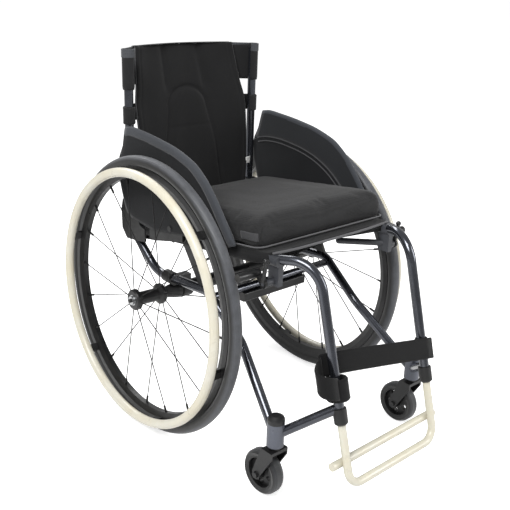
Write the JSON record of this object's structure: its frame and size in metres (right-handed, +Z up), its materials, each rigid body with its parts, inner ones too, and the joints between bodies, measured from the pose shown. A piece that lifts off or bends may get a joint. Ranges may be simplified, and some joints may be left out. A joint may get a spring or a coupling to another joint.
{
  "type": "manual wheelchair",
  "caption": "Rigid-frame manual wheelchair with cambered spoked wheels, swivelling casters, fold-down padded back, loose seat cushion, side guards and height-adjustable footrest.",
  "frame": {"origin": "on the floor under the middle of the bounding box: middle plane between the wheels, half way from the back of the tyres to the front of the footrest", "axes": "+Z up, -Y forwards (the way the sitter faces), +X to the sitter's left"},
  "size_m": [0.5674, 0.8001, 0.787],
  "materials": {
    "frame_paint": "metallic dark blue-grey lacquer, glossy",
    "black_metal": "black anodised or powder coated, satin",
    "grey_metal": "brushed",
    "steel": "satin",
    "cream_paint": "cream powder coat, satin",
    "cream_plastic": "cream coating, satin",
    "black_plastic": "satin",
    "tyre_rubber": "grey tread, darker side walls",
    "caster_rubber": "matte",
    "guard_panel": "satin, fabric faced inside",
    "black_fabric": "woven",
    "cushion_cover": "spacer mesh"
  },
  "bodies": {
    "frame": {"seat_rail_left": "frame_paint", "seat_rail_right": "frame_paint", "lower_tube_left": "frame_paint", "lower_tube_right": "frame_paint", "caster_arms": "frame_paint", "cross_tube": "frame_paint", "cross_beam": "black_metal", "axle_tube": "frame_paint", "axle_clamps": "black_metal", "axle_plugs": "black_metal", "rail_braces": "black_metal", "leg_collars": "black_plastic", "caster_housings": "frame_paint", "housing_caps": "black_plastic", "swivel_bearings": "steel", "back_brackets": "black_metal", "pivot_bolts": "steel", "side_guard_left": "guard_panel", "side_guard_right": "guard_panel", "guard_roll_left": "black_fabric", "guard_roll_right": "black_fabric", "guard_brackets": "black_metal", "guard_screws": "steel", "lock_clamps": "grey_metal", "quick_axle_left": "steel", "quick_axle_right": "steel", "seat_sling": "black_fabric", "calf_strap": "black_fabric"},
    "cushion": {"cushion_core": "cushion_cover", "cushion_foam": "cushion_cover"},
    "backrest": {"back_posts": "frame_paint", "back_bands": "black_fabric", "back_pad": "black_fabric"},
    "footrest": {"footrest_bow": "cream_paint"},
    "wheel_left": {"rim_left": "black_metal", "tyre_left": "tyre_rubber", "spokes_left": "black_metal", "hub_left": "black_metal", "hub_bearings_left": "steel", "handrim_left": "cream_plastic", "handrim_tabs_left": "black_metal"},
    "button_left": {"release_button_left": "steel"},
    "lock_left": {"lock_arm_left": "black_metal"},
    "fork_left": {"caster_fork_left": "black_metal", "caster_bolt_left": "steel"},
    "caster_left": {"caster_tyre_left": "caster_rubber", "caster_rim_left": "black_plastic"},
    "wheel_right": {"rim_right": "black_metal", "tyre_right": "tyre_rubber", "spokes_right": "black_metal", "hub_right": "black_metal", "hub_bearings_right": "steel", "handrim_right": "cream_plastic", "handrim_tabs_right": "black_metal"},
    "button_right": {"release_button_right": "steel"},
    "lock_right": {"lock_arm_right": "black_metal"},
    "fork_right": {"caster_fork_right": "black_metal", "caster_bolt_right": "steel"},
    "caster_right": {"caster_tyre_right": "caster_rubber", "caster_rim_right": "black_plastic"}
  },
  "joints": [
    {"name": "backrest_fold", "type": "hinge", "parent": "frame", "child": "backrest", "pos_m": [0, 0.23707, 0.448], "axis": [1, 0, 0], "range_deg": [0, 72], "deforming": ["cushion_foam"]},
    {"name": "cushion_slide_off", "type": "slide", "parent": "frame", "child": "cushion", "axis": [0, -0.9929, 0.1188], "range_m": [0, 0.3]},
    {"name": "footrest_height", "type": "slide", "parent": "frame", "child": "footrest", "axis": [0, 0.2709, 0.9626], "range_m": [-0.025, 0.04]},
    {"name": "wheel_left_spin", "type": "hinge", "parent": "frame", "child": "wheel_left", "pos_m": [0.23, 0.10507, 0.29483], "axis": [0.9994, 0, 0.0349], "continuous": true},
    {"name": "axle_button_left_press", "type": "slide", "parent": "frame", "child": "button_left", "axis": [-0.9994, 0, -0.0349], "range_m": [0, 0.004], "stiffness_N_per_m": 400},
    {"name": "lock_left_apply", "type": "hinge", "parent": "frame", "child": "lock_left", "pos_m": [0.186, -0.19993, 0.41267], "axis": [-1, 0, 0], "range_deg": [0, 50]},
    {"name": "caster_left_swivel", "type": "hinge", "parent": "frame", "child": "fork_left", "pos_m": [0.205, -0.26893, 0.141], "axis": [0, 0, 1], "continuous": true},
    {"name": "caster_left_spin", "type": "hinge", "parent": "fork_left", "child": "caster_left", "pos_m": [0.205, -0.24193, 0.045], "axis": [1, 0, 0], "continuous": true},
    {"name": "wheel_right_spin", "type": "hinge", "parent": "frame", "child": "wheel_right", "pos_m": [-0.23, 0.10507, 0.29483], "axis": [-0.9994, 0, 0.0349], "continuous": true},
    {"name": "axle_button_right_press", "type": "slide", "parent": "frame", "child": "button_right", "axis": [0.9994, 0, -0.0349], "range_m": [0, 0.004], "stiffness_N_per_m": 400},
    {"name": "lock_right_apply", "type": "hinge", "parent": "frame", "child": "lock_right", "pos_m": [-0.186, -0.19993, 0.41267], "axis": [-1, 0, 0], "range_deg": [0, 50]},
    {"name": "caster_right_swivel", "type": "hinge", "parent": "frame", "child": "fork_right", "pos_m": [-0.205, -0.26893, 0.141], "axis": [0, 0, 1], "continuous": true},
    {"name": "caster_right_spin", "type": "hinge", "parent": "fork_right", "child": "caster_right", "pos_m": [-0.205, -0.24193, 0.045], "axis": [1, 0, 0], "continuous": true}
  ]
}
